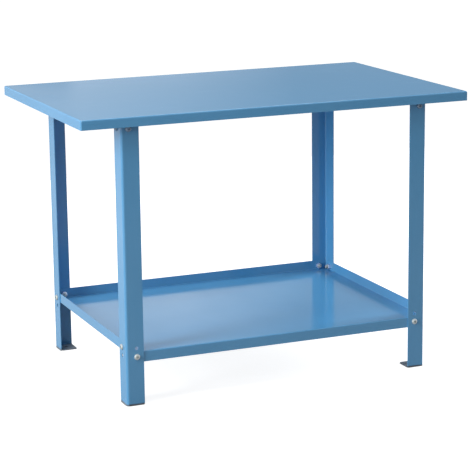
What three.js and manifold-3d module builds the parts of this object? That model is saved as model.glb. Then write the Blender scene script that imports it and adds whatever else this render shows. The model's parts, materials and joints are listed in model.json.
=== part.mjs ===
// A sheet-steel workbench: a folded worktop on four folded-angle legs, with a tray shelf low between them.
// Millimetres, +Z up. The origin is on the floor under the middle of the worktop, and the front faces -Y.
// Every sheet piece is drawn as a flat profile, extruded, and then joined to its folds and drilled.

import * as THREE from 'three';
import { mergeVertices } from 'three/addons/utils/BufferGeometryUtils.js';
import Module from 'manifold-3d';

// The bench as a whole
const benchWidth = 1200;
const benchDepth = 750;
const benchHeight = 836;

// Worktop: a pan with its edges folded down
const topSheet = 2.5;
const topEdge = 28;
const topBend = 4;
const topCorner = 4;

// Stiffeners: hat sections under the worktop
const stiffenerCrown = 44;
const stiffenerBrim = 20;
const stiffenerHeight = 24;
const stiffenerSheet = 2;
const stiffenerOffset = 140;
const stiffenerEndInset = 40;

// Legs: folded angle with the corner outwards
const legSideInset = 124;
const legFrontInset = 28;
const legBackInset = 42;
const legFace = 53;
const legSide = 57;
const legSheet = 2.5;
const legBend = 6.5;

// Foot tab at the bottom of each leg
const footSlit = 1;
const footCorner = 7;
const anchorHole = 11;

// Corner sockets: angle stubs under the worktop, inside the tops of the legs
const socketFace = 44;
const socketSide = 48;
const socketSheet = 3;
const socketBend = 7;
const socketHeight = 58;
const socketCorner = 6;
const socketSlit = 1;

// Shelf: a tray with three rims up and its front lip down
const shelfHeight = 157;
const shelfSheet = 1.5;
const shelfRim = 29;
const shelfLip = 31;
const shelfBend = 3;
const shelfNotch = 6;

// Button-head bolts and plain hexagon nuts
const boltDiameter = 10;
const boltLength = 20;
const boltTip = 1;
const headDiameter = 17.5;
const headHeight = 5.5;
const headRim = 1.1;
const crownMargin = 1.1;
const socketAcross = 6;
const socketDepth = 3.2;
const nutAcross = 16;
const nutHeight = 8.4;
const nutChamfer = 0.9;
const holeClearance = 0.5;
const nutClearance = 0.3;

// Where the holes are, from the leg's outer corner and from the shelf's surface or the bench's top
const faceHoleInset = 32;
const sideHoleInset = 34;
const upperHoleRise = 11;
const lowerHoleDrop = 14;
const topHoleDrop = 37;
const topFaceHoleInset = 22;
const topSideHoleInset = 34;

// How far a cutting shape runs past what it cuts
const overrun = 2;

// Counts of straight steps that stand for round shapes: for each quarter turn of a bend, for half the rim of
// a hole, and for a whole turn of a bolt or a nut. A curve of three.js doubles the count that it is given.
const stepsPerBend = 2;
const stepsPerHole = 6;
const stepsPerHead = 16;
const stepsPerNut = 12;
const domeSteps = 3;

const bluePaint = { color: 0x4f93c4, roughness: 0.28, metalness: 0.0 };
const brightZinc = { color: 0xc9c8c2, roughness: 0.3, metalness: 0.9 };

const wasm = await Module();
wasm.setup();

// Solids for cutting and joining

function toSolid(geometry) {
  const bare = geometry.clone();
  bare.deleteAttribute('normal');
  bare.deleteAttribute('uv');
  const welded = mergeVertices(bare);
  const vertProperties = Float32Array.from(welded.attributes.position.array);
  const triVerts = Uint32Array.from(welded.index.array);
  return new wasm.Manifold(new wasm.Mesh({ numProp: 3, vertProperties, triVerts }));
}

function toGeometry(solid) {
  const mesh = solid.getMesh();
  const geometry = new THREE.BufferGeometry();
  geometry.setAttribute('position', new THREE.BufferAttribute(Float32Array.from(mesh.vertProperties), 3));
  geometry.setIndex(new THREE.BufferAttribute(Uint32Array.from(mesh.triVerts), 1));
  geometry.computeVertexNormals();
  return geometry;
}

// Lays a shape drawn in the plane of two axes along the third: 'x' turns local (x, y, z) into (z, x, y),
// and 'y' turns it into (y, z, x), so nothing is mirrored and no number changes.
function laidAlong(geometry, axis) {
  const p = geometry.attributes.position;
  for (let i = 0; i < p.count; i += 1) {
    const [x, y, z] = [p.getX(i), p.getY(i), p.getZ(i)];
    if (axis === 'x') p.setXYZ(i, z, x, y);
    if (axis === 'y') p.setXYZ(i, y, z, x);
  }
  return geometry;
}

function extruded(shape, length, axis = 'z') {
  const geometry = new THREE.ExtrudeGeometry(shape, {
    depth: length, bevelEnabled: false, curveSegments: stepsPerBend,
  });
  return laidAlong(geometry, axis);
}

function boxSolid(low, high) {
  const size = high.map((v, i) => v - low[i]);
  const box = new THREE.BoxGeometry(...size);
  box.translate(...low.map((v, i) => v + size[i] / 2));
  return toSolid(box);
}

// A solid turned about z from its outline, given as (radius, height) from the bottom of the axis to the top
function turned(outline, steps) {
  const points = outline.map(([radius, height]) => new THREE.Vector2(radius, height));
  return toSolid(laidAlong(new THREE.LatheGeometry(points, steps), 'x'));
}

// A round cutter whose middle is at a point, along one axis
function drill(centre, radius, length, axis) {
  const circle = new THREE.Shape();
  circle.absarc(0, 0, radius, 0, 2 * Math.PI);
  const geometry = new THREE.ExtrudeGeometry(circle, {
    depth: length, bevelEnabled: false, curveSegments: stepsPerHole,
  });
  geometry.translate(0, 0, -length / 2);
  laidAlong(geometry, axis);
  geometry.translate(...centre);
  return toSolid(geometry);
}

// A rectangle with chosen corners rounded: radii for low-low, high-low, high-high and low-high
function roundedPlan(x0, y0, x1, y1, radii) {
  const [a, b, c, d] = radii;
  const shape = new THREE.Shape();
  shape.moveTo(x0 + a, y0);
  shape.lineTo(x1 - b, y0);
  if (b) shape.absarc(x1 - b, y0 + b, b, -Math.PI / 2, 0);
  shape.lineTo(x1, y1 - c);
  if (c) shape.absarc(x1 - c, y1 - c, c, 0, Math.PI / 2);
  shape.lineTo(x0 + d, y1);
  if (d) shape.absarc(x0 + d, y1 - d, d, Math.PI / 2, Math.PI);
  shape.lineTo(x0, y0 + a);
  if (a) shape.absarc(x0 + a, y0 + a, a, Math.PI, 1.5 * Math.PI);
  return shape;
}

// The section of a folded angle: the outer corner at (0, 0), one side along +x and the other along +y
function anglePlan(alongX, alongY, sheet, bend) {
  const inner = bend - sheet;
  const shape = new THREE.Shape();
  shape.moveTo(bend, 0);
  shape.lineTo(alongX, 0);
  shape.lineTo(alongX, sheet);
  shape.lineTo(bend, sheet);
  shape.absarc(bend, bend, inner, 1.5 * Math.PI, Math.PI, true);
  shape.lineTo(sheet, alongY);
  shape.lineTo(0, alongY);
  shape.lineTo(0, bend);
  shape.absarc(bend, bend, bend, Math.PI, 1.5 * Math.PI);
  return shape;
}

// Mirrors a geometry about its own origin by a sign for each axis, keeping its faces outwards
function mirrored(geometry, signX, signY, signZ) {
  const copy = geometry.clone();
  const p = copy.attributes.position;
  for (let i = 0; i < p.count; i += 1) {
    p.setXYZ(i, p.getX(i) * signX, p.getY(i) * signY, p.getZ(i) * signZ);
  }
  if (signX * signY * signZ < 0) {
    const index = copy.index.array;
    for (let i = 0; i < index.length; i += 3) {
      [index[i + 1], index[i + 2]] = [index[i + 2], index[i + 1]];
    }
  }
  copy.computeVertexNormals();
  return copy;
}

// Worktop

function worktopPan() {
  const halfWidth = benchWidth / 2;
  const halfDepth = benchDepth / 2;
  const plan = roundedPlan(
    -halfWidth + topBend, -halfDepth + topBend, halfWidth - topBend, halfDepth - topBend,
    [topCorner, topCorner, topCorner, topCorner],
  );
  // The bevel rounds the fold along the top, and the flat skirt hides its twin at the bottom
  const block = new THREE.ExtrudeGeometry(plan, {
    depth: topEdge, bevelEnabled: true, bevelThickness: topBend, bevelSize: topBend,
    bevelSegments: stepsPerBend, curveSegments: stepsPerBend,
  });
  block.translate(0, 0, benchHeight - topBend - topEdge);
  const skirt = boxSolid(
    [-benchWidth, -benchDepth, benchHeight - topEdge],
    [benchWidth, benchDepth, benchHeight + overrun],
  );
  const hollowPlan = roundedPlan(
    -halfWidth + topSheet, -halfDepth + topSheet, halfWidth - topSheet, halfDepth - topSheet,
    [topSheet, topSheet, topSheet, topSheet],
  );
  const hollow = extruded(hollowPlan, topEdge - topSheet + overrun);
  hollow.translate(0, 0, benchHeight - topEdge - overrun);
  return toGeometry(toSolid(block).intersect(skirt).subtract(toSolid(hollow)));
}

// One hat section, its brims against the underside of the worktop at z = 0 and its crown below
function stiffener() {
  const length = benchWidth - 2 * stiffenerEndInset;
  const half = stiffenerCrown / 2;
  const s = stiffenerSheet;
  const h = stiffenerHeight;
  const hat = new THREE.Shape();
  hat.moveTo(-half, -h);
  hat.lineTo(half, -h);
  hat.lineTo(half, -s);
  hat.lineTo(half + stiffenerBrim - s, -s);
  hat.lineTo(half + stiffenerBrim - s, 0);
  hat.lineTo(half - s, 0);
  hat.lineTo(half - s, s - h);
  hat.lineTo(s - half, s - h);
  hat.lineTo(s - half, 0);
  hat.lineTo(s - half - stiffenerBrim, 0);
  hat.lineTo(s - half - stiffenerBrim, -s);
  hat.lineTo(-half, -s);
  hat.closePath();
  const geometry = extruded(hat, length, 'x');
  geometry.translate(-length / 2, 0, 0);
  return toGeometry(toSolid(geometry));
}

// Angle pieces: legs and corner sockets

// A tab folded inwards from the foot of the face at z = 0, beside a slit at the other side
function foldedTab(alongX, alongY, sheet, bend, slit, corner) {
  const profile = new THREE.Shape();
  profile.moveTo(bend, 0);
  profile.lineTo(alongY, 0);
  profile.lineTo(alongY, sheet);
  profile.lineTo(bend, sheet);
  profile.absarc(bend, bend, bend - sheet, 1.5 * Math.PI, Math.PI, true);
  profile.lineTo(0, bend);
  profile.absarc(bend, bend, bend, Math.PI, 1.5 * Math.PI);
  const start = bend + slit;
  const strip = extruded(profile, alongX - start, 'x');
  strip.translate(start, 0, 0);
  const outline = roundedPlan(start, 0, alongX, alongY, [0, 0, corner, 0]);
  return toSolid(strip).intersect(toSolid(extruded(outline, bend)));
}

// The angle itself, cut back over its face so that the tab's bend takes over at the bottom
function angleWithTab(alongX, alongY, sheet, bend, slit, corner, height) {
  const angle = toSolid(extruded(anglePlan(alongX, alongY, sheet, bend), height));
  const relief = boxSolid([bend, -overrun, -overrun], [alongX + overrun, bend, bend]);
  return angle.subtract(relief).add(foldedTab(alongX, alongY, sheet, bend, slit, corner));
}

function legGeometry() {
  const height = benchHeight - topSheet;
  const upper = shelfHeight + upperHoleRise;
  const lower = shelfHeight - lowerHoleDrop;
  const top = benchHeight - topHoleDrop;
  const radius = boltDiameter / 2 + holeClearance;
  const depth = legBend + overrun;
  const holes = [
    drill([faceHoleInset, 0, upper], radius, depth, 'y'),
    drill([faceHoleInset, 0, lower], radius, depth, 'y'),
    drill([topFaceHoleInset, 0, top], radius, depth, 'y'),
    drill([0, sideHoleInset, upper], radius, depth, 'x'),
    drill([0, sideHoleInset, lower], radius, depth, 'x'),
    drill([0, topSideHoleInset, top], radius, depth, 'x'),
    drill([legFace / 2, legSide / 2, 0], anchorHole / 2, depth, 'z'),
  ];
  let leg = angleWithTab(legFace, legSide, legSheet, legBend, footSlit, footCorner, height);
  for (const hole of holes) leg = leg.subtract(hole);
  return toGeometry(leg);
}

// The socket is drawn with its tab at the bottom, and mirrored where it is placed, so its tab meets the worktop
function socketGeometry() {
  const radius = boltDiameter / 2 + holeClearance;
  const depth = socketBend + overrun;
  const drop = topHoleDrop - topSheet;
  const socket = angleWithTab(
    socketFace, socketSide, socketSheet, socketBend, socketSlit, socketCorner, socketHeight,
  );
  const faceHole = drill([topFaceHoleInset - legSheet, 0, drop], radius, depth, 'y');
  const sideHole = drill([0, topSideHoleInset - legSheet, drop], radius, depth, 'x');
  return toGeometry(socket.subtract(faceHole).subtract(sideHole));
}

// Shelf

// Where the legs' outer corners stand, and how far in the shelf's outer faces are
const legX = benchWidth / 2 - legSideInset;
const legFrontY = -benchDepth / 2 + legFrontInset;
const legBackY = benchDepth / 2 - legBackInset;
const shelfX = legX - legSheet;
const shelfFrontY = legFrontY + legSheet;
const shelfBackY = legBackY - legSheet;

// One folded edge along x, centred: its outer corner at y = z = 0, its wall up and its flat towards +y
function foldedEdge(length, wall) {
  const strip = extruded(anglePlan(shelfBend + overrun, wall, shelfSheet, shelfBend), length, 'x');
  strip.translate(-length / 2, 0, 0);
  return strip;
}

function shelfGeometry() {
  const underside = shelfHeight - shelfSheet;
  const midY = (shelfFrontY + shelfBackY) / 2;
  const acrossLength = 2 * (shelfX - shelfNotch);
  const sideLength = shelfBackY - shelfFrontY - 2 * shelfNotch;
  const rimWall = shelfRim + shelfSheet;

  const frontLip = foldedEdge(acrossLength, shelfLip);
  frontLip.rotateY(Math.PI).translate(0, shelfFrontY, shelfHeight);
  const backRim = foldedEdge(acrossLength, rimWall);
  backRim.rotateZ(Math.PI).translate(0, shelfBackY, underside);
  const leftRim = foldedEdge(sideLength, rimWall);
  leftRim.rotateZ(-Math.PI / 2).translate(-shelfX, midY, underside);
  const rightRim = foldedEdge(sideLength, rimWall);
  rightRim.rotateZ(Math.PI / 2).translate(shelfX, midY, underside);

  let shelf = boxSolid(
    [-shelfX + shelfBend, shelfFrontY + shelfBend, underside],
    [shelfX - shelfBend, shelfBackY - shelfBend, shelfHeight],
  );
  for (const edge of [frontLip, backRim, leftRim, rightRim]) shelf = shelf.add(toSolid(edge));

  const radius = boltDiameter / 2 + holeClearance;
  const depth = shelfBend + overrun;
  const upper = shelfHeight + upperHoleRise;
  const lower = shelfHeight - lowerHoleDrop;
  for (const sign of [-1, 1]) {
    const faceX = sign * (legX - faceHoleInset);
    shelf = shelf.subtract(drill([faceX, shelfFrontY, lower], radius, depth, 'y'));
    shelf = shelf.subtract(drill([faceX, shelfBackY, upper], radius, depth, 'y'));
    for (const y of [legFrontY + sideHoleInset, legBackY - sideHoleInset]) {
      shelf = shelf.subtract(drill([sign * shelfX, y, upper], radius, depth, 'x'));
    }
  }
  return toGeometry(shelf);
}

// Fasteners, drawn along +z with the seat at z = 0

function hexagon(across) {
  const shape = new THREE.Shape();
  const corner = across / Math.sqrt(3);
  for (let i = 0; i < 6; i += 1) {
    const angle = (i * Math.PI) / 3;
    const [x, y] = [corner * Math.cos(angle), corner * Math.sin(angle)];
    if (i === 0) shape.moveTo(x, y);
    else shape.lineTo(x, y);
  }
  shape.closePath();
  return shape;
}

// The head stands towards -z and the shank runs towards +z
function boltSolid() {
  const r = boltDiameter / 2;
  const headRadius = headDiameter / 2;
  const crown = socketAcross / Math.sqrt(3) + crownMargin;
  const outline = [[0, -headHeight], [crown, -headHeight]];
  for (let i = 1; i <= domeSteps; i += 1) {
    const angle = (i / domeSteps) * (Math.PI / 2);
    outline.push([
      crown + (headRadius - crown) * Math.sin(angle),
      -headRim - (headHeight - headRim) * Math.cos(angle),
    ]);
  }
  outline.push([headRadius, 0], [r, 0], [r, boltLength - boltTip], [r - boltTip, boltLength], [0, boltLength]);
  const body = turned(outline, stepsPerHead);
  const key = extruded(hexagon(socketAcross), socketDepth + overrun);
  key.translate(0, 0, -headHeight - overrun);
  return toGeometry(body.subtract(toSolid(key)));
}

function nutSolid() {
  const corner = nutAcross / Math.sqrt(3);
  const bore = boltDiameter / 2 + nutClearance;
  const flat = nutAcross / 2;
  const chamfered = turned([
    [0, 0], [flat, 0], [corner, nutChamfer], [corner, nutHeight - nutChamfer], [flat, nutHeight],
    [0, nutHeight],
  ], stepsPerNut);
  const prism = toSolid(extruded(hexagon(nutAcross), nutHeight));
  const hole = drill([0, 0, nutHeight / 2], bore, nutHeight + overrun, 'z');
  return toGeometry(prism.intersect(chamfered).subtract(hole));
}

// Turns a fastener's +z to point inwards along x or y, by swapping coordinates
function pointed(geometry, axis, sign) {
  const copy = geometry.clone();
  const p = copy.attributes.position;
  for (let i = 0; i < p.count; i += 1) {
    const [x, y, z] = [p.getX(i), p.getY(i), p.getZ(i)];
    if (axis === 'x') p.setXYZ(i, sign * z, sign * x, y);
    else p.setXYZ(i, sign * -x, sign * z, y);
  }
  copy.computeVertexNormals();
  return copy;
}

// The assembly

const workbench = new THREE.Group();
workbench.name = 'workbench';

function place(name, geometry, finish, x, y, z) {
  const mesh = new THREE.Mesh(geometry, new THREE.MeshStandardMaterial(finish));
  mesh.name = name;
  mesh.position.set(x, y, z);
  workbench.add(mesh);
}

place('worktop', worktopPan(), bluePaint, 0, 0, 0);

const hat = stiffener();
const underTop = benchHeight - topSheet;
place('top_stiffener_front', hat, bluePaint, 0, -stiffenerOffset, underTop);
place('top_stiffener_back', hat, bluePaint, 0, stiffenerOffset, underTop);

place('shelf_tray', shelfGeometry(), bluePaint, 0, 0, 0);

// Each corner has a leg, a socket, and a bolt with its nut through each side at the top and at the shelf
const leg = legGeometry();
const socket = socketGeometry();
const bolt = boltSolid();
const nut = nutSolid();

const corners = [
  { name: 'front_left', x: -legX, y: legFrontY, inX: 1, inY: 1, faceRise: -lowerHoleDrop, face: 'front' },
  { name: 'front_right', x: legX, y: legFrontY, inX: -1, inY: 1, faceRise: -lowerHoleDrop, face: 'front' },
  { name: 'back_left', x: -legX, y: legBackY, inX: 1, inY: -1, faceRise: upperHoleRise, face: 'back' },
  { name: 'back_right', x: legX, y: legBackY, inX: -1, inY: -1, faceRise: upperHoleRise, face: 'back' },
];

for (const { name, x, y, inX, inY, faceRise, face } of corners) {
  place(`leg_${name}`, mirrored(leg, inX, inY, 1), bluePaint, x, y, 0);
  place(
    `socket_${name}`, mirrored(socket, inX, inY, -1), bluePaint,
    x + inX * legSheet, y + inY * legSheet, underTop,
  );

  const shelfWall = legSheet + shelfSheet;
  const topWall = legSheet + socketSheet;
  const faceX = x + inX * faceHoleInset;
  const sideY = y + inY * sideHoleInset;
  const faceZ = shelfHeight + faceRise;
  const sideZ = shelfHeight + upperHoleRise;
  const topZ = benchHeight - topHoleDrop;
  const topFaceX = x + inX * topFaceHoleInset;
  const topSideY = y + inY * topSideHoleInset;

  const faceBolt = pointed(bolt, 'y', inY);
  const sideBolt = pointed(bolt, 'x', inX);
  const faceNut = pointed(nut, 'y', inY);
  const sideNut = pointed(nut, 'x', inX);

  place(`shelf_bolt_${name}_${face}`, faceBolt, brightZinc, faceX, y, faceZ);
  place(`shelf_nut_${name}_${face}`, faceNut, brightZinc, faceX, y + inY * shelfWall, faceZ);
  place(`shelf_bolt_${name}_side`, sideBolt, brightZinc, x, sideY, sideZ);
  place(`shelf_nut_${name}_side`, sideNut, brightZinc, x + inX * shelfWall, sideY, sideZ);
  place(`top_bolt_${name}_${face}`, faceBolt, brightZinc, topFaceX, y, topZ);
  place(`top_nut_${name}_${face}`, faceNut, brightZinc, topFaceX, y + inY * topWall, topZ);
  place(`top_bolt_${name}_side`, sideBolt, brightZinc, x, topSideY, topZ);
  place(`top_nut_${name}_side`, sideNut, brightZinc, x + inX * topWall, topSideY, topZ);
}

export default workbench;
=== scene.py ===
# %% [markdown]
# # A blue sheet-steel workbench
#
# The real bench is folded from flat steel and powder coated one glossy mid blue. Its worktop is a pan with
# its edges turned down, its legs are folded angles with the corner outwards, and its shelf is a shallow tray
# bolted low between them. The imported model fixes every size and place, so this script only models each piece
# more finely where it stands, and gives it its finish. All lengths are in metres.

import json
from math import cos, pi, radians, sin, sqrt

import bmesh
import bpy
from mathutils import Matrix, Vector


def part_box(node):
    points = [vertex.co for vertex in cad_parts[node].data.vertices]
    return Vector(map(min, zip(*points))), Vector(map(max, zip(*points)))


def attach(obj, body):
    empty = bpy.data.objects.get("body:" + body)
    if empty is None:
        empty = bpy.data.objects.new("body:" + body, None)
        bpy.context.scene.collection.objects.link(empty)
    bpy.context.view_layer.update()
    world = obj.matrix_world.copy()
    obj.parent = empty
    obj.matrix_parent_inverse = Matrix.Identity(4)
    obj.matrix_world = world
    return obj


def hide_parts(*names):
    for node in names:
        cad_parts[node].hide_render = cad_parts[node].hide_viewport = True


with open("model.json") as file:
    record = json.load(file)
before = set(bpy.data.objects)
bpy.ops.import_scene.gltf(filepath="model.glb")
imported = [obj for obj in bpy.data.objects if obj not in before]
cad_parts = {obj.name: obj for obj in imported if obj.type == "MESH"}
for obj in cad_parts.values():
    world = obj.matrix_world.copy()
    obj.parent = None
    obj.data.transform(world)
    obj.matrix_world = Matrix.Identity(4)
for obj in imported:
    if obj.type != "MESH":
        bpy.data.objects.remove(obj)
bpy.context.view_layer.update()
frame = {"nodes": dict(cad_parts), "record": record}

# %% [markdown]
# ## The camera
#
# The bench was photographed from far away with a long lens, a little above the worktop and from the left.
# The camera's place was found by fitting a plain pinhole camera to the straight edges in the photo. It is
# turned in three steps, each about one axis: its heading to the right of +Y, its pitch down and its roll.

# %% Set up the camera
camera_place = (-2.1417, -5.1445, 1.6471)
heading = radians(22.664)
pitch = radians(12.782)
roll = radians(-0.697)
lens_mm = 142.78
sensor_mm = 36
sight = 200

camera = bpy.data.objects.new("camera", bpy.data.cameras.new("camera"))
bpy.context.collection.objects.link(camera)
camera.data.lens = lens_mm
camera.data.sensor_width = sensor_mm
camera.data.clip_end = sight
camera.matrix_world = (
    Matrix.Translation(camera_place)
    @ Matrix.Rotation(-heading, 4, "Z")
    @ Matrix.Rotation(pi / 2 - pitch, 4, "X")
    @ Matrix.Rotation(roll, 4, "Z")
)
bpy.context.scene.camera = camera
print("The camera looks from", [round(v, 2) for v in camera.location])

# %% [markdown]
# ## Shader maths
#
# A material's pattern is a sum of small steps, and each step is a node. Writing them as Python sums keeps
# the pattern readable, so a small class wraps a node's output and turns +, - and * into Math nodes. Every
# other node is added by one method, which sets the node's options first and then its sockets. Three more
# methods cover what every pattern needs: a soft step makes a mask, and a mask blends two values or colours.

# %% A class for shader maths
class Wire:
    """The output of one node, which can be used in sums as a number is."""

    def __init__(self, tree, socket=None):
        self.tree = tree
        self.socket = socket

    def node(self, kind, settings=None, sockets=None, output=0):
        """Adds a node with its settings, fills its sockets, and returns one of its outputs, if it has any."""
        made = self.tree.nodes.new(kind)
        for name, value in (settings or {}).items():
            setattr(made, name, value)
        for name, value in (sockets or {}).items():
            if isinstance(value, Wire):
                self.tree.links.new(value.socket, made.inputs[name])
            else:
                made.inputs[name].default_value = value
        return Wire(self.tree, made.outputs[output]) if made.outputs else None

    def math(self, operation, first, second=0.0):
        return self.node("ShaderNodeMath", {"operation": operation}, {0: first, 1: second})

    def __add__(self, other):
        return self.math("ADD", self, other)

    def __radd__(self, other):
        return self.math("ADD", other, self)

    def __sub__(self, other):
        return self.math("SUBTRACT", self, other)

    def __rsub__(self, other):
        return self.math("SUBTRACT", other, self)

    def __mul__(self, other):
        return self.math("MULTIPLY", self, other)

    def __rmul__(self, other):
        return self.math("MULTIPLY", other, self)

    def between(self, low, high):
        """A soft step, 0 up to low and 1 beyond high, which falls instead where low is the greater."""
        return self.node(
            "ShaderNodeMapRange", {"interpolation_type": "SMOOTHSTEP"},
            {"Value": self, "From Min": low, "From Max": high},
        )

    def blend(self, first, second):
        """A value that goes from the first to the second as this one goes from 0 to 1."""
        return first + self * (second - first)

    def mixed(self, first, second):
        """A colour that goes from the first to the second as this value goes from 0 to 1."""
        return self.node(
            "ShaderNodeMix", {"data_type": "RGBA"}, {0: self, 6: first, 7: second}, output=2,
        )


def new_material(name):
    """An empty material, and a wire to start its nodes from."""
    material = bpy.data.materials.new(name)
    material.use_nodes = True
    material.node_tree.nodes.clear()
    return material, Wire(material.node_tree)


def finish_material(material, shader):
    shader.node("ShaderNodeOutputMaterial", {}, {"Surface": shader})
    print("Material", material.name, "has", len(material.node_tree.nodes), "nodes")
    return material


# %% [markdown]
# ## The studio
#
# The photo was taken on white. The floor is made white by adding a plain white glow to its own shading, for
# the rays that look at it or mirror it, so no lamp has to be turned up to whiten it. Near the bench the glow
# is a little weaker and the lamps make up the rest, so the bench still drops a faint shadow. Close to a foot,
# where the floor sees little of the room, the glow goes out and a dark line of contact shadow is left, as in
# the photo. The glossy paint mirrors the floor too. In the photo the left faces mirror bright white paper
# and the rest mirrors a darker floor, so the mirrored glow falls off to the right.

# %% Floor
white = (1.0, 1.0, 1.0, 1.0)
floor_size = 60.0
floor_gap = 0.0004
floor_grey = (0.40, 0.40, 0.40, 1.0)
floor_seen_near = 0.88
floor_seen_far = 1.0
near_radius, far_radius = 1.2, 2.6
contact_reach = 0.010
contact_samples = 16
contact_dark, contact_clear = 0.45, 0.85
floor_mirrored_left = 0.65
floor_mirrored_right = 0.29
paper_end, paper_start = -0.8, -1.3

bpy.ops.mesh.primitive_plane_add(size=floor_size, location=(0, 0, -floor_gap))
floor = bpy.context.object
floor.name = "floor"


def ray_is(wire, *kinds):
    """1 for rays of the named kinds, such as "Camera" or "Glossy", and 0 for the rest."""
    rays = wire.node("ShaderNodeLightPath", output=f"Is {kinds[0]} Ray")
    for kind in kinds[1:]:
        rays = wire.math("MAXIMUM", rays, wire.node("ShaderNodeLightPath", output=f"Is {kind} Ray"))
    return rays


def own_place(wire):
    """Where a point is in the object's own coordinates."""
    return wire.node("ShaderNodeTexCoord", output="Object")


def part_of(vector, axis):
    """The x, y or z part of a vector."""
    return vector.node("ShaderNodeSeparateXYZ", {}, {0: vector}, axis.upper())


def white_glow(wire, strength):
    return wire.node("ShaderNodeEmission", {}, {"Color": white, "Strength": strength})


floor_material, start = new_material("white_floor")
matt = start.node("ShaderNodeBsdfDiffuse", {}, {"Color": floor_grey})
spot = own_place(start)
on_paper = part_of(spot, "x").between(paper_end, paper_start)
mirrored = on_paper.blend(floor_mirrored_right, floor_mirrored_left)
from_bench = start.node("ShaderNodeVectorMath", {"operation": "LENGTH"}, {0: spot}, "Value")
seen = from_bench.between(near_radius, far_radius).blend(floor_seen_near, floor_seen_far)
open_sky = start.node(
    "ShaderNodeAmbientOcclusion", {"samples": contact_samples}, {"Distance": contact_reach}, "AO",
)
seen = seen * open_sky.between(contact_dark, contact_clear)
glow = ray_is(start, "Camera") * seen + ray_is(start, "Glossy", "Transmission") * mirrored
shader = start.node("ShaderNodeAddShader", {}, {0: matt, 1: white_glow(start, glow)})
floor.data.materials.append(finish_material(floor_material, shader))

# %% [markdown]
# The light comes mostly from the left. A large, far softbox lights the left faces evenly and shines in
# under the worktop onto the shelf. A small one near it gives the shade under the fold of the worktop an
# edge. One hangs high over the front edge, so it brightens the front strip of the shelf and leaves a deep
# shade under the fold. A weak one in front, one high behind and one on the right keep those sides from
# going dark. The white room does the rest. It has one strength for the rays that carry light to the bench
# and another for those that mirror it, so the gloss stays white while the light stays soft.

# %% World and lamps
room_light = 0.15
world = bpy.data.worlds.new("studio")
world.use_nodes = True
world.node_tree.nodes.clear()
start = Wire(world.node_tree)
dim_room, white_room = (
    start.node("ShaderNodeBackground", {}, {"Color": white, "Strength": strength})
    for strength in (room_light, 1.0)
)
seen_or_mirrored = ray_is(start, "Camera", "Glossy", "Transmission")
room = start.node("ShaderNodeMixShader", {}, {0: seen_or_mirrored, 1: dim_room, 2: white_room})
room.node("ShaderNodeOutputWorld", {}, {"Surface": room})
bpy.context.scene.world = world
bpy.context.scene.view_settings.view_transform = "Standard"


def softbox(name, place, aim, width, height, power):
    """A rectangular lamp of so many watts, which lights and is mirrored but isn't seen itself."""
    lamp = bpy.data.lights.new(name, "AREA")
    lamp.shape = "RECTANGLE"
    lamp.size = width
    lamp.size_y = height
    lamp.energy = power
    made = bpy.data.objects.new(name, lamp)
    bpy.context.collection.objects.link(made)
    made.location = place
    made.rotation_euler = (Vector(aim) - Vector(place)).to_track_quat("-Z", "Y").to_euler()
    made.visible_camera = False


bench_middle = (0.0, 0.0, 0.5)
bench_front = (0.0, -0.2, 0.5)
softbox("left_softbox", (-8.0, -2.0, 2.4), bench_middle, 4.0, 3.0, 525)
softbox("left_small_softbox", (-4.5, -1.2, 3.2), bench_middle, 1.0, 1.0, 76)
softbox("front_high_softbox", (-2.4, -2.8, 2.75), bench_middle, 1.4, 1.4, 10)
softbox("over_front_softbox", (-0.9, -0.9, 3.4), bench_front, 2.0, 1.2, 38)
softbox("back_high_softbox", (0.5, 2.6, 3.0), bench_middle, 3.0, 1.6, 36)
softbox("right_softbox", (4.5, 0.5, 2.2), bench_middle, 2.2, 1.8, 255)

# %% [markdown]
# The worktop and the shelf are seen at a shallow angle, so they mirror what stands far behind the bench. In
# the photo that mirrored white falls off to the right, sooner on the worktop than on the shelf, and the
# inner faces of the back right leg mirror something dark. An upright card behind the bench gives the same.
# It fades to grey from left to right, and its lower half, which the shelf mirrors, starts whiter and fades
# later and has a dark patch on the left. The camera itself doesn't see the card.

# %% Card behind the bench
card_place = (2.0, 3.0, 1.5)
card_width = 5.8
card_height = 3.0
upper_half_starts, upper_half_full = 1.10, 1.22
upper_fade = {"from_x": 0.2, "to_x": 1.6, "first": 0.61, "last": 0.24}
lower_fade = {"from_x": 1.0, "to_x": 1.6, "first": 1.0, "last": 0.45}
patch_edge, patch_full = 0.5, 0.4
patch_depth = 0.85

bpy.ops.mesh.primitive_plane_add(size=1, location=card_place, rotation=(pi / 2, 0, 0))
card = bpy.context.object
card.name = "grey_card"
card.scale = (card_width, card_height, 1)
bpy.ops.object.transform_apply(location=True, rotation=True, scale=True)
card.visible_camera = False


def fading(x, from_x, to_x, first, last):
    """A strength that changes evenly between two places along x, and stays the same beyond them."""
    return x.node("ShaderNodeMapRange", {}, {
        "Value": x, "From Min": from_x, "From Max": to_x, "To Min": first, "To Max": last,
    })


card_material, start = new_material("grey_card")
spot = own_place(start)
x = part_of(spot, "x")
upper_half = part_of(spot, "z").between(upper_half_starts, upper_half_full)
dark_patch = x.between(patch_edge, patch_full)
mirrored_by_shelf = fading(x, **lower_fade) * (1 - dark_patch * patch_depth)
shade = upper_half.blend(mirrored_by_shelf, fading(x, **upper_fade))
strength = ray_is(start, "Glossy", "Transmission").blend(room_light, 1.0)
card.data.materials.append(finish_material(card_material, white_glow(start, shade * strength)))

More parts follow.
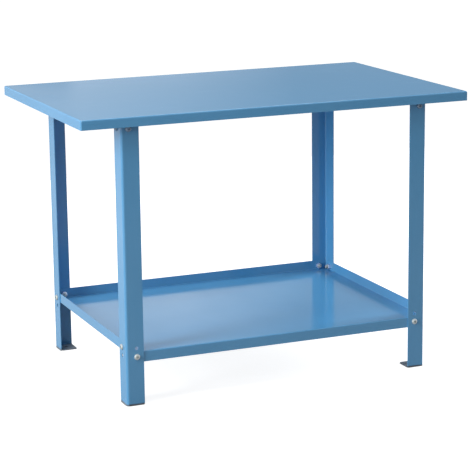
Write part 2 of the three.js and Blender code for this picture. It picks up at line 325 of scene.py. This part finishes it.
# %% [markdown]
# ## The blue powder coat
#
# Powder coat is a thick, glossy plastic skin. Close up it has the fine ripple called orange peel, a slow
# wave from the sheet under it, a little dust baked in, and after some use hairline scratches on the faces
# that look up. Along the edges it is rubbed paler in places. All of it reads the object's own coordinates,
# so the pattern has its real size everywhere and no two pieces carry the same patch of it. Everything less
# than a few millimetres above the floor, most of all the tops of the foot tabs, gets a dull, dark, ragged
# painted shade that stands in for the shade where the feet meet the floor.
#
# Each noise below is given by its scale per metre, its detail and its roughness, and each range by the values
# at which a mark begins and is full. The scratches run three ways, each given by its turn and by the noise's
# scale along and across it.

# %% Blue powder coat
paint_blue = (0.093, 0.312, 0.560, 1.0)
paint_shade = (0.085, 0.298, 0.543, 1.0)
paint_worn = (0.180, 0.390, 0.620, 1.0)
paint_roughness = 0.14
paint_refraction = 1.5
looks_up = (0.9, 0.99)

average = 0.5
cloud_noise, cloud_range = (5.0, 4.0, 0.55), (0.3, 0.7)
dust_noise, dust_range = (260.0, 1.0), (0.72, 0.78)
rub_noise, rub_range = (38.0, 5.0, 0.7), (0.42, 0.66)
grain_noise = (900.0, 2.0)
peel_noise = (330.0, 2.0, 0.45)
sheet_noise = (7.0, 1.0)

edge_samples = 6
edge_range = (0.01, 0.18)
rub_width = 0.0012

scratch_ways = ((radians(24), 4.0, 330.0), (radians(-51), 5.0, 410.0), (radians(83), 3.0, 290.0))
scratch_noise = (1.0, 1.0)
scratch_fineness = 60
gap_noise, gap_range = (9.0, 3.0), (0.56, 0.70)

# Painted shade: the paint within a few millimetres of the floor is darkened and dulled to stand in for the
# shade at the feet.
foot_painted_shade = (0.115, 0.120, 0.128, 1.0)
foot_shade_full, foot_shade_gone = 0.0020, 0.0062
foot_shade_noise = (70.0, 4.0, 0.6)
foot_shade_raggedness = 0.005
foot_shade_least, foot_shade_uneven = 0.70, 0.40

rubbed_pale, scratched_pale = 0.6, 0.07
cloud_dulls, grain_dulls, scratches_dull, rubbing_dulls, foot_shade_dulls = 0.03, 0.03, 0.06, 0.14, 0.40
peel_height, sheet_height, dust_height, scratch_depth = 0.000006, 0.00012, 0.000010, 0.000002


def noise(wire, place, per_metre, detail, roughness=0.5):
    return wire.node(
        "ShaderNodeTexNoise", {},
        {"Vector": place, "Scale": per_metre, "Detail": detail, "Roughness": roughness},
    )


def hairlines(wire, place, turn, along, across):
    """Thin scratches one way: noise stretched along it, of which only a narrow band of values shows."""
    turned = wire.node(
        "ShaderNodeMapping", {},
        {"Vector": place, "Rotation": (0, 0, turn), "Scale": (along, across, across)},
    )
    wave = noise(wire, turned, *scratch_noise)
    line = 1 - wire.math("ABSOLUTE", (wave - average) * scratch_fineness).between(0.0, 1.0)
    return line * noise(wire, place, *gap_noise).between(*gap_range)


def edges(wire, width):
    """1 on outer and inner edges, found by comparing the face with itself rounded over."""
    rounded = wire.node("ShaderNodeBevel", {"samples": edge_samples}, {"Radius": width})
    plain = wire.node("ShaderNodeNewGeometry", output="Normal")
    alike = wire.node("ShaderNodeVectorMath", {"operation": "DOT_PRODUCT"}, {0: rounded, 1: plain}, "Value")
    return (1 - alike).between(*edge_range)


def relief(wire, height):
    """The surface tilted by a height in metres."""
    return wire.node("ShaderNodeBump", {}, {"Strength": 1.0, "Distance": 1.0, "Height": height})


def blue_powder_coat():
    material, start = new_material("blue_powder_coat")
    place = own_place(start)
    flat_on_top = part_of(start.node("ShaderNodeNewGeometry", output="Normal"), "z").between(*looks_up)

    cloud = noise(start, place, *cloud_noise).between(*cloud_range)
    grain = noise(start, place, *grain_noise)
    dust = noise(start, place, *dust_noise).between(*dust_range)
    scratches = sum(hairlines(start, place, *way) for way in scratch_ways) * flat_on_top
    rubbed = edges(start, rub_width) * noise(start, place, *rub_noise).between(*rub_range)
    # Painted shade near the floor, ragged and uneven, standing in for the shade where the feet meet it.
    patchy = noise(start, place, *foot_shade_noise)
    above_floor = part_of(place, "z") + (patchy - average) * foot_shade_raggedness
    foot_shade = above_floor.between(foot_shade_gone, foot_shade_full)

    color = cloud.mixed(paint_blue, paint_shade)
    color = (rubbed * rubbed_pale).mixed(color, paint_worn)
    color = (scratches * scratched_pale).mixed(color, paint_worn)
    color = (foot_shade * (foot_shade_least + patchy * foot_shade_uneven)).mixed(color, foot_painted_shade)
    roughness = (
        paint_roughness + (cloud - average) * cloud_dulls + (grain - average) * grain_dulls
        + scratches * scratches_dull + rubbed * rubbing_dulls + foot_shade * foot_shade_dulls
    )

    peel = noise(start, place, *peel_noise)
    sheet = noise(start, place, *sheet_noise)
    height = peel * peel_height + sheet * sheet_height + dust * dust_height - scratches * scratch_depth
    shader = start.node("ShaderNodeBsdfPrincipled", {}, {
        "Base Color": color, "Roughness": roughness, "Normal": relief(start, height),
        "IOR": paint_refraction,
    })
    return finish_material(material, shader)


blue_paint = blue_powder_coat()

# %% [markdown]
# ## Zinc plate
#
# The bolts and nuts are zinc plated and passivated, which leaves a faint yellow and blue bloom on the grey
# metal. Rolling and tumbling leave a fine grain, and the corners are knocked smoother. The same pattern
# gives three finishes. The nuts' zinc is paler and bluer than the bolt heads, a painted highlight, and the
# zinc of the bolts that hold the worktop is much darker, a painted shade for the deep shade under the fold.

# %% Zinc plate
bloom_noise = (130.0, 3.0)
straw_range, blue_range, dull_range = (0.48, 0.66), (0.46, 0.30), (0.5, 0.8)
tumbled_noise = (2600.0, 3.0, 0.6)
tumbled_height = 0.000004
corner_width = 0.0006
tumbling_dulls, corner_smooths, bloom_dulls = 0.22, 0.08, 0.1


def zinc_finish(name, grey, straw, blue, plain_roughness):
    material, start = new_material(name)
    place = own_place(start)
    bloom = noise(start, place, *bloom_noise)
    color = bloom.between(*straw_range).mixed(grey, straw)
    color = bloom.between(*blue_range).mixed(color, blue)
    grain = noise(start, place, *tumbled_noise)
    roughness = (
        plain_roughness + (grain - average) * tumbling_dulls - edges(start, corner_width) * corner_smooths
        + bloom.between(*dull_range) * bloom_dulls
    )
    shader = start.node("ShaderNodeBsdfPrincipled", {}, {
        "Base Color": color, "Metallic": 1.0, "Roughness": roughness,
        "Normal": relief(start, grain * tumbled_height),
    })
    return finish_material(material, shader)


bright_zinc = zinc_finish(
    "bright_zinc", plain_roughness=0.72,
    grey=(0.43, 0.47, 0.48, 1.0), straw=(0.45, 0.48, 0.45, 1.0), blue=(0.40, 0.45, 0.50, 1.0),
)
# Painted highlight: a paler, bluer copy of the zinc for the nuts.
pale_zinc = zinc_finish(
    "pale_zinc", plain_roughness=0.45,
    grey=(0.68, 0.75, 0.90, 1.0), straw=(0.69, 0.75, 0.84, 1.0), blue=(0.63, 0.73, 0.92, 1.0),
)
# Painted shade: a much darker copy of the zinc for the worktop's bolts, which sit in the shade under the fold.
dark_zinc = zinc_finish(
    "dark_zinc", plain_roughness=0.50,
    grey=(0.15, 0.20, 0.27, 1.0), straw=(0.16, 0.20, 0.25, 1.0), blue=(0.13, 0.19, 0.27, 1.0),
)

# %% [markdown]
# ## How the pieces are modelled
#
# Sheet-metal pieces are made here as they are made in the shop. A flat plane is the blank. Its edges are
# extruded where the sheet is folded, the fold lines are bevelled to their bend radius, Solidify gives the
# sheet its thickness, holes are cut with a boolean, and a small bevel eases the cut edges. The steps below
# pick corners, edges and faces by where they are, as a hand would by clicking them.

# %% Picking and editing helpers
near = 0.00005
parallel = 0.999
fold_steps = 8
hole_steps = 40
drill_length = 0.03
round_profile = 0.5
eased_steps = 2
sharp_from = 50
sheet_smoothing = 35
face_weight = 60


def only(piece):
    """Makes this the only selected object, and the active one."""
    bpy.ops.object.select_all(action="DESELECT")
    piece.select_set(True)
    bpy.context.view_layer.objects.active = piece


def pick(kind, along=None, add=False, **places):
    """In edit mode, selects the "verts", "edges" or "faces" whose every corner is at the given places.

    A place is a value or a (lowest, highest) pair for x, y or z. An edge can be asked to run along an axis.
    """
    mesh = bmesh.from_edit_mesh(bpy.context.object.data)
    if not add:
        bpy.ops.mesh.select_mode(type={"verts": "VERT", "edges": "EDGE", "faces": "FACE"}[kind])
        bpy.ops.mesh.select_all(action="DESELECT")
    ranges = {
        axis: place if isinstance(place, tuple) else (place, place) for axis, place in places.items()
    }
    for part in getattr(mesh, kind):
        corners = [part] if kind == "verts" else part.verts
        inside = all(
            lowest - near < getattr(corner.co, axis) < highest + near
            for corner in corners for axis, (lowest, highest) in ranges.items()
        )
        if along:
            way = (corners[1].co - corners[0].co).normalized()
            inside = inside and abs(getattr(way, along)) > parallel
        if inside:
            part.select_set(True)
    bmesh.update_edit_mesh(bpy.context.object.data)


def extrude(x=0.0, y=0.0, z=0.0):
    bpy.ops.mesh.extrude_region_move(TRANSFORM_OT_translate={"value": (x, y, z)})


def round_fold(radius, segments=fold_steps):
    """Bevels the picked fold lines to their bend radius."""
    bpy.ops.mesh.bevel(
        offset=radius, offset_type="OFFSET", segments=segments, profile=round_profile, affect="EDGES",
    )


def close_mesh(merge_within=None):
    """Leaves edit mode with corners that coincide merged, if asked, and every face pointing outwards."""
    bpy.ops.mesh.select_all(action="SELECT")
    if merge_within:
        bpy.ops.mesh.remove_doubles(threshold=merge_within)
    bpy.ops.mesh.normals_make_consistent(inside=False)
    bpy.ops.object.mode_set(mode="OBJECT")


def apply_modifier(piece, kind, **settings):
    only(piece)
    modifier = piece.modifiers.new(kind.lower(), kind)
    for name, value in settings.items():
        setattr(modifier, name, value)
    bpy.ops.object.modifier_apply(modifier=modifier.name)


def thicken(piece, sheet, offset):
    """Gives a folded sheet its thickness: inwards from its faces at offset -1, outwards at 1, both at 0."""
    apply_modifier(piece, "SOLIDIFY", thickness=sheet, offset=offset, use_even_offset=True)


def ease_cut_edges(piece, width):
    """Gives every sharp edge a small bevel, which leaves out the steps of a rounded fold."""
    apply_modifier(
        piece, "BEVEL", width=width, segments=eased_steps, limit_method="ANGLE",
        angle_limit=radians(sharp_from),
    )


def cut(piece, cutter, operation="DIFFERENCE"):
    """Cuts the piece with the cutter, and throws the cutter away."""
    apply_modifier(piece, "BOOLEAN", object=cutter, operation=operation, solver="EXACT")
    bpy.data.objects.remove(cutter)


def drill(piece, centre, axis, radius):
    """Cuts a round hole along the x, y or z axis."""
    turn = {"x": (0, pi / 2, 0), "y": (pi / 2, 0, 0), "z": (0, 0, 0)}[axis]
    bpy.ops.mesh.primitive_cylinder_add(
        vertices=hole_steps, radius=radius, depth=drill_length, location=centre, rotation=turn,
    )
    cut(piece, bpy.context.object)


def flatten_transform(piece):
    """Applies the piece's place, turn and scale, so that its origin is the world's."""
    only(piece)
    bpy.ops.object.transform_apply(location=True, rotation=True, scale=True)
    return piece


def copy_of(piece, name, matrix):
    """A copy with its own mesh, moved or mirrored by the matrix, its faces pointing outwards again."""
    made = piece.copy()
    made.data = piece.data.copy()
    made.name = name
    bpy.context.collection.objects.link(made)
    made.matrix_world = matrix
    flatten_transform(made)
    bpy.ops.object.mode_set(mode="EDIT")
    close_mesh()
    return made


def dress(piece, node, material, smooth_angle=sheet_smoothing):
    """Shades the piece, gives it its material, and lets it stand for its node of the frame."""
    only(piece)
    bpy.ops.object.shade_smooth_by_angle(angle=radians(smooth_angle))
    apply_modifier(piece, "WEIGHTED_NORMAL", keep_sharp=True, weight=face_weight)
    piece.data.materials.clear()
    piece.data.materials.append(material)
    piece.name = f"{node}_detail"
    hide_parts(node)
    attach(piece, "root")
    print(piece.name, "has", len(piece.data.polygons), "faces")


# %% [markdown]
# ## The worktop
#
# The worktop is one sheet with its four edges folded down and its corners welded and ground smooth, so from
# outside it is a closed pan. It starts as a box of the right size. The bottom face is deleted, the folds and
# the four upright corners are rounded together, and Solidify turns the open box into a sheet.

# %% Worktop
top_sheet = 0.0025
top_bend = 0.004
cut_edge = 0.0004

low, high = (Vector(corner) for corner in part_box("worktop"))
bpy.ops.mesh.primitive_cube_add(size=1, location=(low + high) / 2, scale=high - low)
worktop = flatten_transform(bpy.context.object)
bpy.ops.object.mode_set(mode="EDIT")
pick("faces", z=low.z)
bpy.ops.mesh.delete(type="FACE")
pick("edges", z=high.z)
pick("edges", along="z", add=True)
round_fold(top_bend)
bpy.ops.object.mode_set(mode="OBJECT")
thicken(worktop, top_sheet, -1)
ease_cut_edges(worktop, cut_edge)
dress(worktop, "worktop", blue_paint)

# %% [markdown]
# ## Legs and corner sockets
#
# A leg is an angle folded from flat sheet. Its foot is a tab that is part of one face and is folded in at the
# bottom, beside a slit, so that it can turn under without tearing the other face. The socket under each
# corner of the worktop is the same shape, shorter and upside down, with its tab welded to the sheet above.
# One function folds both, standing in the front left corner, and the other corners are mirror copies.

# %% Fold an angle with a tab
def fold_angle(name, low, high, sheet, bend, slit, tab_corner):
    """An angle that fills a box, with its outer corner at low x and low y, and its tab at low z."""
    tab_start = low.x + bend + slit
    middle = Vector(((tab_start + high.x) / 2, low.y, (low.z + high.z) / 2))
    bpy.ops.mesh.primitive_plane_add(size=1, location=middle, rotation=(pi / 2, 0, 0))
    piece = bpy.context.object
    piece.name = name
    piece.scale = (high.x - tab_start, high.z - low.z, 1)
    flatten_transform(piece)
    bpy.ops.object.mode_set(mode="EDIT")
    # The tab, folded in from the bottom edge
    pick("edges", z=low.z)
    extrude(y=high.y - low.y)
    pick("edges", z=low.z, y=low.y)
    round_fold(bend)
    # The other face, round the upright corner
    pick("edges", along="z", x=tab_start, y=low.y)
    extrude(x=low.x - tab_start)
    extrude(y=high.y - low.y)
    pick("edges", x=low.x, y=low.y)
    round_fold(bend)
    pick("edges", x=(low.x, low.x + bend), z=low.z + bend)
    extrude(z=-bend)
    # The tab's free corner is rounded off
    pick("verts", x=high.x, y=high.y, z=low.z)
    bpy.ops.mesh.bevel(offset=tab_corner, segments=fold_steps, profile=round_profile, affect="VERTICES")
    close_mesh(near)
    # The sheet thickens away from the outer faces
    front_face = min(piece.data.polygons, key=lambda face: face.center.y)
    thicken(piece, sheet, -1 if front_face.normal.y < 0 else 1)
    return piece


# %% Legs
leg_sheet = 0.0025
leg_bend = 0.0065
foot_slit = 0.001
foot_corner = 0.007
hole_radius = 0.0055
anchor_radius = 0.0055


def middle_of(node):
    low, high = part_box(node)
    return (Vector(low) + Vector(high)) / 2


def drill_top_holes(piece, low):
    """The two holes that the bolts between a leg and its socket go through."""
    drill(piece, (top_face_bolt.x, low.y, top_face_bolt.z), "y", hole_radius)
    drill(piece, (low.x, top_side_bolt.y, top_side_bolt.z), "x", hole_radius)


low, high = (Vector(corner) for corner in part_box("leg_front_left"))
leg = fold_angle("leg", low, high, leg_sheet, leg_bend, foot_slit, foot_corner)
face_bolt = middle_of("shelf_bolt_front_left_front")
side_bolt = middle_of("shelf_bolt_front_left_side")
top_face_bolt = middle_of("top_bolt_front_left_front")
top_side_bolt = middle_of("top_bolt_front_left_side")
for height in (face_bolt.z, side_bolt.z):
    drill(leg, (face_bolt.x, low.y, height), "y", hole_radius)
    drill(leg, (low.x, side_bolt.y, height), "x", hole_radius)
drill_top_holes(leg, low)
drill(leg, ((low.x + high.x) / 2, (low.y + high.y) / 2, 0), "z", anchor_radius)
ease_cut_edges(leg, cut_edge)
print("The leg is", len(leg.data.polygons), "faces")

# %% Corner sockets
socket_sheet = 0.003
socket_bend = 0.007
socket_slit = 0.001
socket_corner = 0.006

low, high = (Vector(corner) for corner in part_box("socket_front_left"))
upside_down = Matrix.Translation((0, 0, low.z + high.z)) @ Matrix.Diagonal((1, 1, -1, 1))
drawn = fold_angle("socket", low, high, socket_sheet, socket_bend, socket_slit, socket_corner)
socket = copy_of(drawn, "socket_turned", upside_down)
bpy.data.objects.remove(drawn)
drill_top_holes(socket, low)
ease_cut_edges(socket, cut_edge)
print("The socket is", len(socket.data.polygons), "faces")

# %% A leg and a socket in every corner
front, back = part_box("leg_front_left")[0][1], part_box("leg_back_left")[1][1]
to_the_right = Matrix.Diagonal((-1, 1, 1, 1))
to_the_back = Matrix.Translation((0, front + back, 0)) @ Matrix.Diagonal((1, -1, 1, 1))
corner_moves = {
    "front_left": Matrix.Identity(4),
    "front_right": to_the_right,
    "back_left": to_the_back,
    "back_right": to_the_right @ to_the_back,
}
for corner, move in corner_moves.items():
    for kind, model in (("leg", leg), ("socket", socket)):
        node = f"{kind}_{corner}"
        dress(copy_of(model, node, move), node, blue_paint)
bpy.data.objects.remove(leg)
bpy.data.objects.remove(socket)

# %% [markdown]
# ## The shelf tray
#
# The shelf is one sheet too. Its back and sides are folded up as rims and its front is folded down as a
# lip, so that things slide in easily. The folds go both ways, so the sheet is drawn as its middle layer and
# thickened to both sides. Small notches keep the rims from meeting at the corners, as on any folded tray.

# %% Shelf tray
shelf_sheet = 0.0015
shelf_bend = 0.003
shelf_notch = 0.006
shelf_edge = shelf_sheet / 4
surface = next(
    mount["pos_m"][2] for mount in frame["record"]["mounts"] if mount["name"] == "shelf_surface"
)

low, high = (Vector(corner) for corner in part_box("shelf_tray"))
half = shelf_sheet / 2
left, right = low.x + half, high.x - half
near_y, far_y = low.y + half, high.y - half
level = surface - half
blank_edge = shelf_bend - half
middle = ((left + right) / 2, (near_y + far_y) / 2, level)
bpy.ops.mesh.primitive_plane_add(size=1, location=middle)
shelf = bpy.context.object
shelf.scale = (right - left - 2 * blank_edge, far_y - near_y - 2 * blank_edge, 1)
flatten_transform(shelf)
bpy.ops.object.mode_set(mode="EDIT")
along_x = (low.x + shelf_notch, high.x - shelf_notch)
along_y = (low.y + shelf_notch, high.y - shelf_notch)
for x in along_x:
    bpy.ops.mesh.select_all(action="SELECT")
    bpy.ops.mesh.bisect(plane_co=(x, 0, level), plane_no=(1, 0, 0))
for y in along_y:
    bpy.ops.mesh.select_all(action="SELECT")
    bpy.ops.mesh.bisect(plane_co=(0, y, level), plane_no=(0, 1, 0))

rim = high.z - level
lip = low.z - level


def fold_edge(out_x, out_y, up, **edge):
    """Draws an edge of the blank out to its fold line and folds it up or down."""
    pick("edges", z=level, **edge)
    extrude(x=out_x * blank_edge, y=out_y * blank_edge)
    extrude(z=up)


fold_edge(-1, 0, rim, x=left + blank_edge, y=along_y)
fold_edge(1, 0, rim, x=right - blank_edge, y=along_y)
fold_edge(0, 1, rim, x=along_x, y=far_y - blank_edge)
fold_edge(0, -1, lip, x=along_x, y=near_y + blank_edge)
pick("edges", along="y", x=left, z=level)
pick("edges", along="y", x=right, z=level, add=True)
pick("edges", along="x", y=near_y, z=level, add=True)
pick("edges", along="x", y=far_y, z=level, add=True)
round_fold(blank_edge)
close_mesh(near)
thicken(shelf, shelf_sheet, 0)
for corner in corner_moves:
    wall = corner.split("_")[0]
    drill(shelf, middle_of(f"shelf_bolt_{corner}_{wall}"), "y", hole_radius)
    drill(shelf, middle_of(f"shelf_bolt_{corner}_side"), "x", hole_radius)
ease_cut_edges(shelf, shelf_edge)
dress(shelf, "shelf_tray", blue_paint)

# %% [markdown]
# ## The stiffeners
#
# Two hat sections run along under the worktop and keep it from ringing and bending. Each is a crown, two webs
# and two brims, and its brims are spot welded to the sheet above. A spot weld leaves a round, shallow dent in
# the brim, which is cut with a row of flattened balls.

# %% Stiffeners
hat_sheet = 0.002
hat_bend = 0.004
hat_brim = 0.018
weld_radius = 0.0042
weld_depth = 0.0006
weld_pitch = 0.085
hat_steps = 6
dent_segments, dent_rings = 20, 10


def fold_hat(low, high):
    """A hat section that fills a box: the crown is the blank, and the webs and brims are drawn from it."""
    half = hat_sheet / 2
    crown = (high.y - low.y) / 2 - hat_brim - half
    middle = (low + high) / 2
    bpy.ops.mesh.primitive_plane_add(size=1, location=(middle.x, middle.y, low.z + half))
    piece = bpy.context.object
    piece.scale = (high.x - low.x, 2 * crown, 1)
    flatten_transform(piece)
    bpy.ops.object.mode_set(mode="EDIT")
    web = middle.y - crown, middle.y + crown
    for side, y in zip((-1, 1), web):
        pick("edges", along="x", y=y)
        extrude(z=high.z - low.z - hat_sheet)
        extrude(y=side * (hat_brim + half))
    pick("edges", along="x", y=web[0])
    pick("edges", along="x", y=web[1], add=True)
    round_fold(hat_bend - half, hat_steps)
    close_mesh()
    thicken(piece, hat_sheet, 0)
    return piece


def weld_dents(piece, low, high):
    """Cuts a row of shallow round dents into the underside of both brims."""
    length = high.x - low.x
    count = int(length / weld_pitch)
    first = low.x + (length - (count - 1) * weld_pitch) / 2
    dents = []
    for y in (low.y + hat_brim / 2, high.y - hat_brim / 2):
        for i in range(count):
            place = (first + i * weld_pitch, y, high.z - hat_sheet)
            bpy.ops.mesh.primitive_uv_sphere_add(
                segments=dent_segments, ring_count=dent_rings, radius=weld_radius, location=place,
            )
            dent = bpy.context.object
            dent.scale.z = weld_depth / weld_radius
            dents.append(dent)
    bpy.ops.object.select_all(action="DESELECT")
    for dent in dents:
        dent.select_set(True)
    bpy.context.view_layer.objects.active = dents[0]
    bpy.ops.object.join()
    cut(piece, flatten_transform(dents[0]))


low, high = (Vector(corner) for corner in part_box("top_stiffener_front"))
hat = fold_hat(low, high)
weld_dents(hat, low, high)
ease_cut_edges(hat, cut_edge)
hat_step = middle_of("top_stiffener_back") - middle_of("top_stiffener_front")
for node, move in (
    ("top_stiffener_front", Matrix.Identity(4)),
    ("top_stiffener_back", Matrix.Translation(hat_step)),
):
    dress(copy_of(hat, node, move), node, blue_paint)
bpy.data.objects.remove(hat)

# %% [markdown]
# ## Bolts
#
# The bolts are M10 button heads with a hexagon socket. The head is spun from half an outline, and its
# socket is cut with a hexagon bar and the cone that a drill leaves. The shank is one tooth of the thread,
# swept up by the Screw modifier and trimmed to a chamfered tip. One bolt is modelled along z with its seat
# at the origin.

# %% Outlines that can be spun
seed_size = 0.001
head_steps = 48
same_place = 0.000005


def outline(name, points):
    """An outline of edges through points given as (radius, height), drawn by extruding one vertex."""
    bpy.ops.mesh.primitive_plane_add(size=seed_size, location=(0, 0, 0))
    piece = bpy.context.object
    piece.name = name
    bpy.ops.object.mode_set(mode="EDIT")
    bpy.ops.mesh.select_mode(type="VERT")
    bpy.ops.mesh.select_all(action="SELECT")
    bpy.ops.mesh.merge(type="CENTER")
    bpy.ops.transform.translate(value=(points[0][0], 0, points[0][1]))
    for (r0, z0), (r1, z1) in zip(points, points[1:]):
        extrude(x=r1 - r0, z=z1 - z0)
    return piece


def spun(name, points, steps=head_steps):
    """A closed body turned about z from an outline that starts and ends on the axis."""
    piece = outline(name, points)
    bpy.ops.mesh.select_all(action="SELECT")
    bpy.ops.mesh.spin(steps=steps, angle=2 * pi, center=(0, 0, 0), axis=(0, 0, 1))
    close_mesh(same_place)
    return piece


def quarter_arc(centre, radius_x, radius_z, steps):
    """Points along a quarter of an ellipse, from straight below its centre to straight beside it."""
    turns = [radians(270 + 90 * i / steps) for i in range(steps + 1)]
    return [(centre[0] + radius_x * cos(t), centre[1] + radius_z * sin(t)) for t in turns]


def hexagon_bar(across, length, middle_z):
    """A six-sided bar along z, by its width across the flats."""
    bpy.ops.mesh.primitive_cylinder_add(
        vertices=6, radius=across / sqrt(3), depth=length, location=(0, 0, middle_z),
    )
    return bpy.context.object


# %% Bolt
bolt_radius = 0.005
bolt_length = 0.020
thread_pitch = 0.0015
thread_depth = 0.0009
head_radius = 0.00875
head_height = 0.0055
head_crown = 0.0042
head_rim = 0.0009
head_seat_edge = 0.0002
dome_steps = 12
key_across = 0.006
key_depth = 0.0032
key_rim = 0.0003
cone_depth = 0.0012
overlap = 0.00005

dome = quarter_arc((head_crown, -head_rim), head_radius - head_crown, head_height - head_rim, dome_steps)
head = spun("bolt", [
    (0, -head_height), *dome, (head_radius, -head_seat_edge), (head_radius - head_seat_edge, 0),
    (bolt_radius, 0), (0, 0),
])
cut(head, hexagon_bar(key_across, 2 * key_depth, -head_height))
bpy.ops.mesh.primitive_cone_add(
    vertices=hole_steps, radius1=key_across / 2, radius2=0, depth=cone_depth,
    location=(0, 0, key_depth - head_height + cone_depth / 2 - overlap),
)
cut(head, bpy.context.object)
ease_cut_edges(head, key_rim)

# %% Threaded shank
# The thread starts below the seat and ends beyond the tip, and is trimmed to length afterwards. Each corner
# of its tooth is given by its share of the thread's depth and of its pitch.
spare_turns = 2
thread_steps = 32
tooth_shares = ((0, 0), (0, 0.125), (1, 0.44), (1, 0.56), (0, 0.875), (0, 1))

turns = int(bolt_length / thread_pitch) + 2 * spare_turns
root = bolt_radius - thread_depth
below = -spare_turns * thread_pitch
shank = outline("shank", [
    (root + thread_depth * out, below + thread_pitch * up) for out, up in tooth_shares
])
bpy.ops.object.mode_set(mode="OBJECT")
apply_modifier(
    shank, "SCREW", axis="Z", angle=2 * pi, steps=thread_steps, render_steps=thread_steps,
    screw_offset=thread_pitch, iterations=turns,
)
bpy.ops.object.mode_set(mode="EDIT")
bpy.ops.mesh.select_all(action="SELECT")
bpy.ops.mesh.remove_doubles(threshold=same_place)
bpy.ops.mesh.fill_holes(sides=0)
close_mesh()
print("The thread is", len(shank.data.polygons), "faces in", turns, "turns")

# %% Bolt tip and one whole bolt
tip_chamfer = 0.001
clear = 0.0003

envelope = spun("envelope", [
    (0, -clear), (bolt_radius + clear, -clear),
    (bolt_radius + clear, bolt_length - tip_chamfer - clear), (bolt_radius - tip_chamfer, bolt_length),
    (0, bolt_length),
])
cut(shank, envelope, "INTERSECT")
cut(head, shank, "UNION")
bolt = head
print("The bolt is", len(bolt.data.polygons), "faces")

# %% [markdown]
# ## Nuts
#
# A nut is a hexagon bar cut short. Its corners are turned down to a cone at both ends, which is the part of
# it that a spun blank shares with the bar, and its bore is countersunk.

# %% Nut
nut_across = 0.016
nut_height = 0.0084
nut_bore = 0.0052
nut_face = 0.0076
nut_cone = 0.0010
nut_sink = 0.0007
nut_edge = 0.00025
blank_steps = 72

nut = flatten_transform(hexagon_bar(nut_across, nut_height, nut_height / 2))
widest = nut_across / sqrt(3) + clear
blank = spun("blank", [
    (0, 0), (nut_face, 0), (widest, nut_cone), (widest, nut_height - nut_cone), (nut_face, nut_height),
    (0, nut_height),
], blank_steps)
cut(nut, blank, "INTERSECT")
sunk = nut_bore + nut_sink + clear
bore = spun("bore", [
    (0, -clear), (sunk, -clear), (nut_bore, nut_sink), (nut_bore, nut_height - nut_sink),
    (sunk, nut_height + clear), (0, nut_height + clear),
], hole_steps)
cut(nut, bore)
ease_cut_edges(nut, nut_edge)
print("The nut is", len(nut.data.polygons), "faces")

# %% [markdown]
# Every bolt and nut goes where its node is. The node's box tells which way it lies and where it seats, and
# each one is turned a different amount about its own axis, because nobody lines them up when tightening.

# %% Put a bolt or a nut at each of its nodes
golden_turn = radians(137.5)
zinc_smoothing = 30


def seat_of(node, seat_depth):
    """Where a fastener seats, and the way it points, from its node's box. It always points inwards."""
    low, high = (Vector(corner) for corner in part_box(node))
    axis = 0 if node.endswith("_side") else 1
    middle = (low + high) / 2
    inwards = -1 if middle[axis] > 0 else 1
    seat = middle.copy()
    seat[axis] = (low if inwards > 0 else high)[axis] + inwards * seat_depth
    way = Vector((0, 0, 0))
    way[axis] = inwards
    return seat, way


def finish_of(node):
    """The zinc for a node: a copy with painted highlight on nuts, a copy with painted shade on the worktop's
    bolts, and plain zinc on the shelf's.
    """
    if "_nut_" in node:
        return pale_zinc
    return dark_zinc if node.startswith("top_") else bright_zinc


def place_fastener(model, node, seat_depth, turn):
    """Puts a copy of the bolt or nut at its node, turned about its own axis."""
    seat, way = seat_of(node, seat_depth)
    move = (
        Matrix.Translation(seat)
        @ way.to_track_quat("Z", "Y").to_matrix().to_4x4()
        @ Matrix.Rotation(turn, 4, "Z")
    )
    dress(copy_of(model, node, move), node, finish_of(node), zinc_smoothing)


fasteners = sorted(name for name in frame["nodes"] if "_bolt_" in name or "_nut_" in name)
for number, node in enumerate(fasteners):
    if "_bolt_" in node:
        place_fastener(bolt, node, head_height, number * golden_turn)
    else:
        place_fastener(nut, node, 0.0, number * golden_turn)
bpy.data.objects.remove(bolt)
bpy.data.objects.remove(nut)
